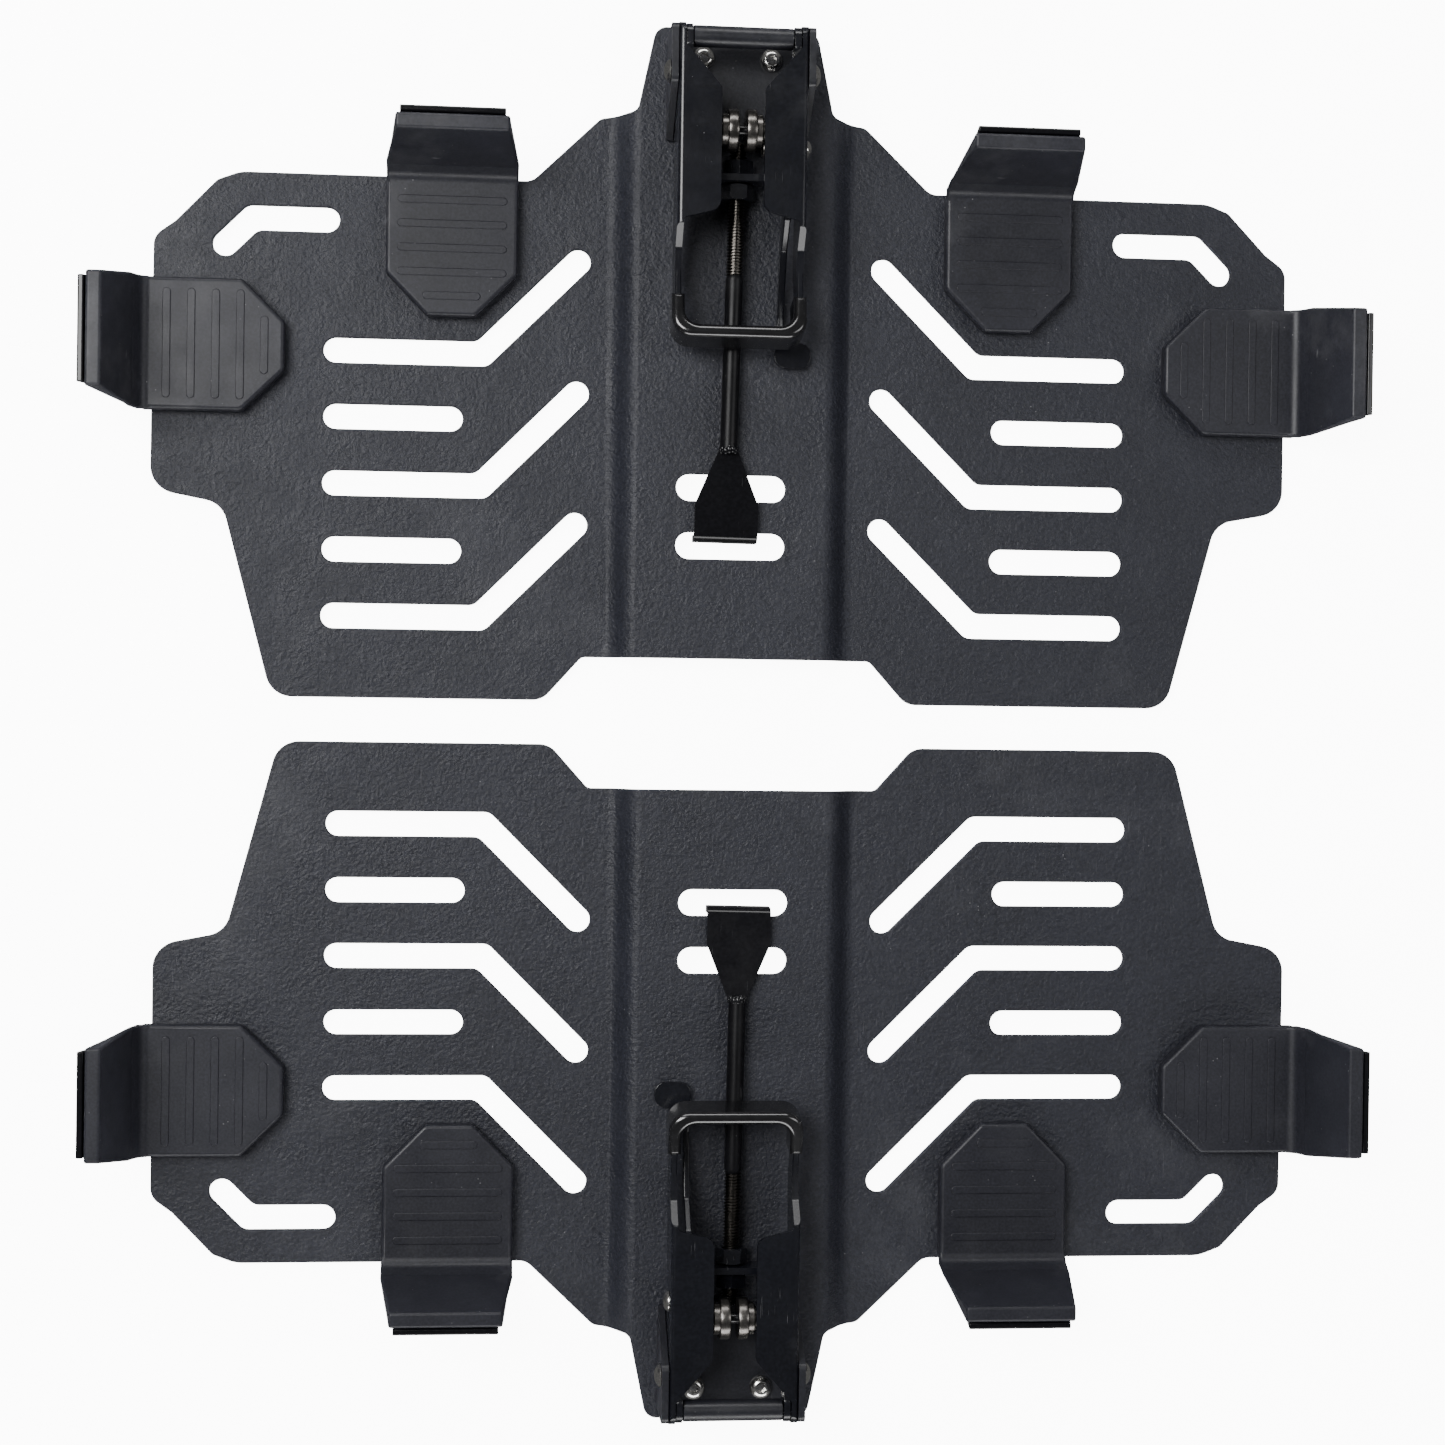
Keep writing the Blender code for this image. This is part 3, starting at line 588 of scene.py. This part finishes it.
def rod_frame():
    """Place of the rod and nuts: y is 0 in the middle of the yoke's web."""
    skew = Matrix.Rotation(-radians(ROD_SKEW), 4, "Z")
    slope = Matrix.Rotation(radians(ROD_SLOPE), 4, "X")
    return Matrix.Translation((0, WEB_MID * MM, ROD_Z * MM)) @ skew @ slope


def rod_thread():
    """Rolled thread on the latch end of the rod."""
    start, end = THREAD_START - WEB_MID, ROD_END - WEB_MID
    turns = int((end - start) / PITCH) - 1
    rib = ((THREAD_ROOT, 1), (THREAD_ROOT, 0.9), (THREAD_CREST, 0.58), (THREAD_CREST, 0.42),
           (THREAD_ROOT, 0.1), (THREAD_ROOT, 0))
    one = [(radius, start + PITCH * share) for radius, share in rib]
    shape = capped(turned(one, 28, "Y", pitch=PITCH, turns=turns))
    shape.data.transform(rod_frame())
    return shape


def hook_rod():
    """Plain shank, thinner under the thread."""
    start, end, foot = (y - WEB_MID for y in (THREAD_START, ROD_END, ROD_FOOT))
    profile = [(0, end), (2.4, end), (3.0, end - 0.8), (3.0, start + 2), (3.2, start + 1),
               (SHANK, start - 0.6), (SHANK, foot + 0.6), (3.5, foot), (0, foot)]
    shape = turned(profile, 32, "Y")
    shape.data.transform(rod_frame())
    return shape


def lock_nut(side):
    """Hex nut with chamfered corners and a plain round bore."""
    flat = [(7.5 * cos(pi * k / 3), 7.5 * sin(pi * k / 3)) for k in range(6)]
    start = 1.95
    low, high = sorted((-side * start, -side * (start + 6.8)))
    shape = sheet([flat, circle(0, 0, 4.3)], low, high, "XZ", 0.02, 0)
    mid = -(low + high) / 2
    cone = [(0, mid + 3.4), (6.5, mid + 3.4), (7.6, mid + 2.75), (7.6, mid - 2.75),
            (6.5, mid - 3.4), (0, mid - 3.4)]
    shape = boolean(shape, turned(cone, 48, "Y"), "INTERSECT")
    shape = soften(shape, 0.18, 2, 25)
    shape.data.transform(rod_frame() @ Matrix.Rotation(radians(15 + 15 * side), 4, "Y"))
    return shape


def t_hook():
    low, high = 15.2, 18.2
    bend = [(124.0, low), (124.0, high), (82.6, high, 4.2), (82.6, 7.0), (85.6, 7.0),
            (85.6, low, 1.2)]
    shape = sheet([rounded(bend, 10)], -14.4, 14.4, "YZ", CRISP, 0)
    for side in (-1, 1):
        beside = [(side * 16.0, 95.4), (side * 14.1, 100.0, 3), (side * 4.0, 124.6),
                  (side * 4.0, 140.0), (side * 30.0, 140.0), (side * 30.0, 95.4)]
        shape = boolean(shape, sheet([rounded(beside)], 0, 40, "XY", CRISP, 0))
    shape = soften(shape, 0.4, 2, 34)
    middle = Matrix.Translation((0, WEB_MID * MM, 0))
    skew = Matrix.Rotation(-radians(ROD_SKEW), 4, "Z")
    shape.data.transform(middle @ skew @ middle.inverted())
    return shape


def weld_bead():
    """Short overlapping weld pools round the joint of the rod and the T-hook."""
    bm = bmesh.new()
    skew = radians(ROD_SKEW)
    for k in range(9):
        a = radians(-20 + 220 * k / 8)
        y = 124.2
        x = -(WEB_MID - y) * sin(skew) + 3.5 * cos(a)
        z = 18.6 + 2.9 * sin(a) * (0.9 if sin(a) < 0 else 1.15)
        size = 1.25 + 0.25 * sin(5.1 * k)
        place = Matrix.Translation((x * MM, (y + 0.5 * sin(2.3 * k)) * MM, z * MM))
        squash = Matrix.Diagonal((size * MM, size * 1.5 * MM, size * MM, 1))
        bmesh.ops.create_icosphere(bm, subdivisions=3, radius=1.0, matrix=place @ squash)
    mesh = bpy.data.meshes.new("bead")
    bm.to_mesh(mesh)
    bm.free()
    return link(mesh)


def trigger():
    y, z = TRIGGER_PIN
    blade = [(y + 4.4, z + 4.6, 4.2), (y + 4.4, z - 4.2, 4.2), (234.0, 34.4, 3),
             (213.0, 22.6, 4), (186.0, 15.6, 2), (171.0, 15.6), (171.0, 18.1),
             (184.0, 20.4, 3), (212.0, 30.0, 4), (225.0, 42.0, 4)]
    shape = sheet([rounded(blade)], 19.2, 22.2, "YZ", 0.7)
    tab = [(19.4, 174.0), (17.6, 162.0, 5), (35.0, 161.5, 7), (35.0, 172.5, 6),
           (26.0, 174.0, 2)]
    shape = boolean(shape, sheet([rounded(tab)], 15.9, 18.3, "XY", 0.35), "UNION")
    return drill(shape, 2.35, y, z)


def trigger_pin():
    profile = [(0, 31.6), (1.4, 31.5), (2.8, 31.05), (3.9, 30.3), (4.5, 29.4), (4.6, 29.0),
               (2.0, 29.0), (2.0, 13.0), (0, 13.0)]
    return turned(profile, 32, "X", (0, *TRIGGER_PIN))


def trigger_spring():
    """Close-wound coils on the trigger's pin."""
    pitch, wire = 1.15, 0.52
    ring = [(3.3 + wire * cos(2 * pi * k / 8), 13.62 + wire + wire * sin(2 * pi * k / 8))
            for k in range(9)]
    return capped(turned(ring, 28, "X", (0, *TRIGGER_PIN), -pitch, 4))


def roller():
    profile = [(2.8, 12.4), (4.9, 12.4), (5.2, 12.1), (5.2, 9.2), (6.8, 9.2), (7.2, 8.8),
               (7.2, 6.4), (8.6, 6.4), (9.05, 6.1), (9.25, 5.5), (9.3, 4.6), (9.3, 3.5),
               (9.25, 2.6), (9.05, 2.0), (8.6, 1.7), (2.8, 1.7), (2.8, 12.4)]
    return turned(profile, 56, "X", (0, *SPOOL))


def cross_tube():
    profile = [(2.75, 22.2), (4.4, 22.2), (4.75, 21.9), (4.75, -21.9), (4.4, -22.2),
               (2.75, -22.2), (2.75, 22.2)]
    return turned(profile, 48, "X", (0, *TUBE))


def shaft(radius, spot):
    profile = [(0, 28.4), (radius - 0.4, 28.4), (radius, 28.0), (radius, -28.0),
               (radius - 0.4, -28.4), (0, -28.4)]
    return turned(profile, 32, "X", (0, *spot))


# ------------------------------------------------------------ placing

def finish_piece(shape, name, body, mat, place, nodes):
    """Copies a shape into place, on its body, standing for the CAD nodes given."""
    mesh = shape.data.copy()
    mesh.name = name
    mesh.materials.clear()
    mesh.materials.append(mat)
    mesh.shade_smooth()
    mesh.set_sharp_from_angle(angle=radians(SHARP_ANGLE))
    obj = link(mesh, name)
    weighted = obj.modifiers.new("normals", "WEIGHTED_NORMAL")
    weighted.keep_sharp = True
    weighted.weight = 80
    obj.matrix_world = place
    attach(obj, body)
    if nodes:
        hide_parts(*nodes)


def build():
    """Makes each shape once and places it for both units and all hooks."""
    screw, rivet, wheel = base_screw(), pivot_rivet(), roller()
    plain = [
        ("mounting_plate", mounting_plate(), "plate", "powder_coat"),
        ("latch_base", latch_base(), "plate", "black_steel"),
        ("right_base_screw", screw, "plate", "stainless"),
        ("left_base_screw", mirrored(screw), "plate", "stainless"),
        ("right_pivot_rivet", rivet, "plate", "stainless"),
        ("left_pivot_rivet", mirrored(rivet), "plate", "stainless"),
        ("lever", lever(), "lever", "black_steel"),
        ("lever_grip", lever_grip(), "lever", "dipped_vinyl"),
        ("cross_pin", shaft(2.4, TUBE), "lever", "black_steel"),
        ("cross_tube", cross_tube(), "lever", "black_steel"),
        ("roller_shaft", shaft(2.5, SPOOL), "lever", "black_steel"),
        ("left_roller", mirrored(wheel), "lever", "dark_collar"),
        ("right_roller", wheel, "lever", "dark_collar"),
        ("trigger_pin", trigger_pin(), "lever", "stainless"),
        ("trigger_spring", trigger_spring(), "lever", "dark_collar"),
        ("yoke", yoke(), "yoke", "black_steel"),
        ("inner_lock_nut", lock_nut(-1), "yoke", "black_steel"),
        ("outer_lock_nut", lock_nut(1), "yoke", "black_steel"),
        ("hook_rod", hook_rod(), "rod", "black_steel"),
        ("t_hook", t_hook(), "rod", "black_steel"),
        ("trigger", trigger(), "trigger", "black_steel")]
    bead, thread = weld_bead(), rod_thread()
    looks = {"latch_base": "satin_steel", "cross_tube": "satin_steel",
             "lever": "lever_black", "yoke": "lever_black", "trigger": "lever_black",
             "inner_lock_nut": "lever_black", "outer_lock_nut": "lever_black",
             "hook_rod": "rod_black"}
    strap_shape, boot_shape = strap(), boot()
    hooks = [("left_side", -263.6, 166.6, pi), ("right_side", 263.6, 166.6, 0.0),
             ("left_edge", -127.3, 244.6, pi / 2), ("right_edge", 127.3, 244.6, pi / 2)]
    for unit, (turn, shift) in UNITS.items():
        base = Matrix.Translation((shift * MM, 0, 0)) @ Matrix.Rotation(turn, 4, "Z")
        mats = finishes(0.0 if unit == "rear" else 4.3)
        for name, shape, body, slot_name in plain:
            finish_piece(shape, f"{unit}_{name}_form", f"{unit}_{body}",
                         mats[looks.get(name, slot_name)], base, [f"{unit}_{name}"])
        finish_piece(bead, f"{unit}_weld_bead", f"{unit}_rod",
                     mats["black_steel"], base, [])
        finish_piece(thread, f"{unit}_rod_thread", f"{unit}_rod",
                     mats["thread_steel"], base, [])
        for name, x, y, spin in hooks:
            place = base @ Matrix.Translation((x * MM, y * MM, 0))
            place = place @ Matrix.Rotation(spin, 4, "Z")
            for part, shape, slot_name in (("strap", strap_shape, "black_steel"),
                                           ("boot", boot_shape, "boot_rubber")):
                finish_piece(shape, f"{unit}_{name}_hook_{part}_form", f"{unit}_plate",
                             mats[slot_name], place,
                             [f"{unit}_{name}_hook_{part}"])
    for shape in [entry[1] for entry in plain] + [bead, thread, strap_shape, boot_shape]:
        bpy.data.objects.remove(shape)


# ------------------------------------------------------------ floor, light, camera

def floor():
    """Pale floor that glows a little, so that it reads as a white backdrop."""
    bm = bmesh.new()
    bmesh.ops.create_grid(bm, x_segments=8, y_segments=8, size=FLOOR_HALF)
    mesh = bpy.data.meshes.new("floor")
    bm.to_mesh(mesh)
    bm.free()
    obj = link(mesh, "floor")
    obj.location.z = -0.0002
    mat = bpy.data.materials.new("floor")
    mat.use_nodes = True
    bsdf = mat.node_tree.nodes["Principled BSDF"]
    bsdf.inputs["Base Color"].default_value = (0.93, 0.93, 0.93, 1)
    bsdf.inputs["Roughness"].default_value = 0.9
    bsdf.inputs["Emission Color"].default_value = (1, 1, 1, 1)
    bsdf.inputs["Emission Strength"].default_value = FLOOR_GLOW
    mesh.materials.append(mat)
    obj.visible_glossy = False


def lamp(name, location, size, energy):
    """Soft area lamp aimed at the middle of the set."""
    data = bpy.data.lights.new(name, "AREA")
    data.shape = "RECTANGLE"
    data.size, data.size_y = size
    data.energy = energy
    obj = link(data, name)
    obj.location = location
    obj.rotation_euler = (-Vector(location)).to_track_quat("-Z", "Y").to_euler()


def world(strength):
    made = bpy.data.worlds.new("studio")
    made.use_nodes = True
    made.node_tree.nodes["Background"].inputs["Color"].default_value = (1, 1, 1, 1)
    made.node_tree.nodes["Background"].inputs["Strength"].default_value = strength
    bpy.context.scene.world = made


def camera():
    data = bpy.data.cameras.new("camera")
    data.sensor_width = 36.0
    data.lens = 63.78
    obj = link(data, "camera")
    obj.location = (-0.1212, 0.00966, 1.1699)
    obj.rotation_euler = (radians(-0.509), radians(-5.772), radians(0.804))
    bpy.context.scene.camera = obj


build()
floor()
world(0.12)
lamp("key", (-1.0, 0.5, 1.75), (0.9, 1.3), 62)
lamp("fill", (1.35, 0.2, 1.6), (0.7, 1.2), 12)
lamp("back", (-0.1, 2.0, 1.1), (1.8, 0.6), 26)
lamp("front", (0.0, -2.0, 0.85), (2.2, 0.8), 42)
camera()
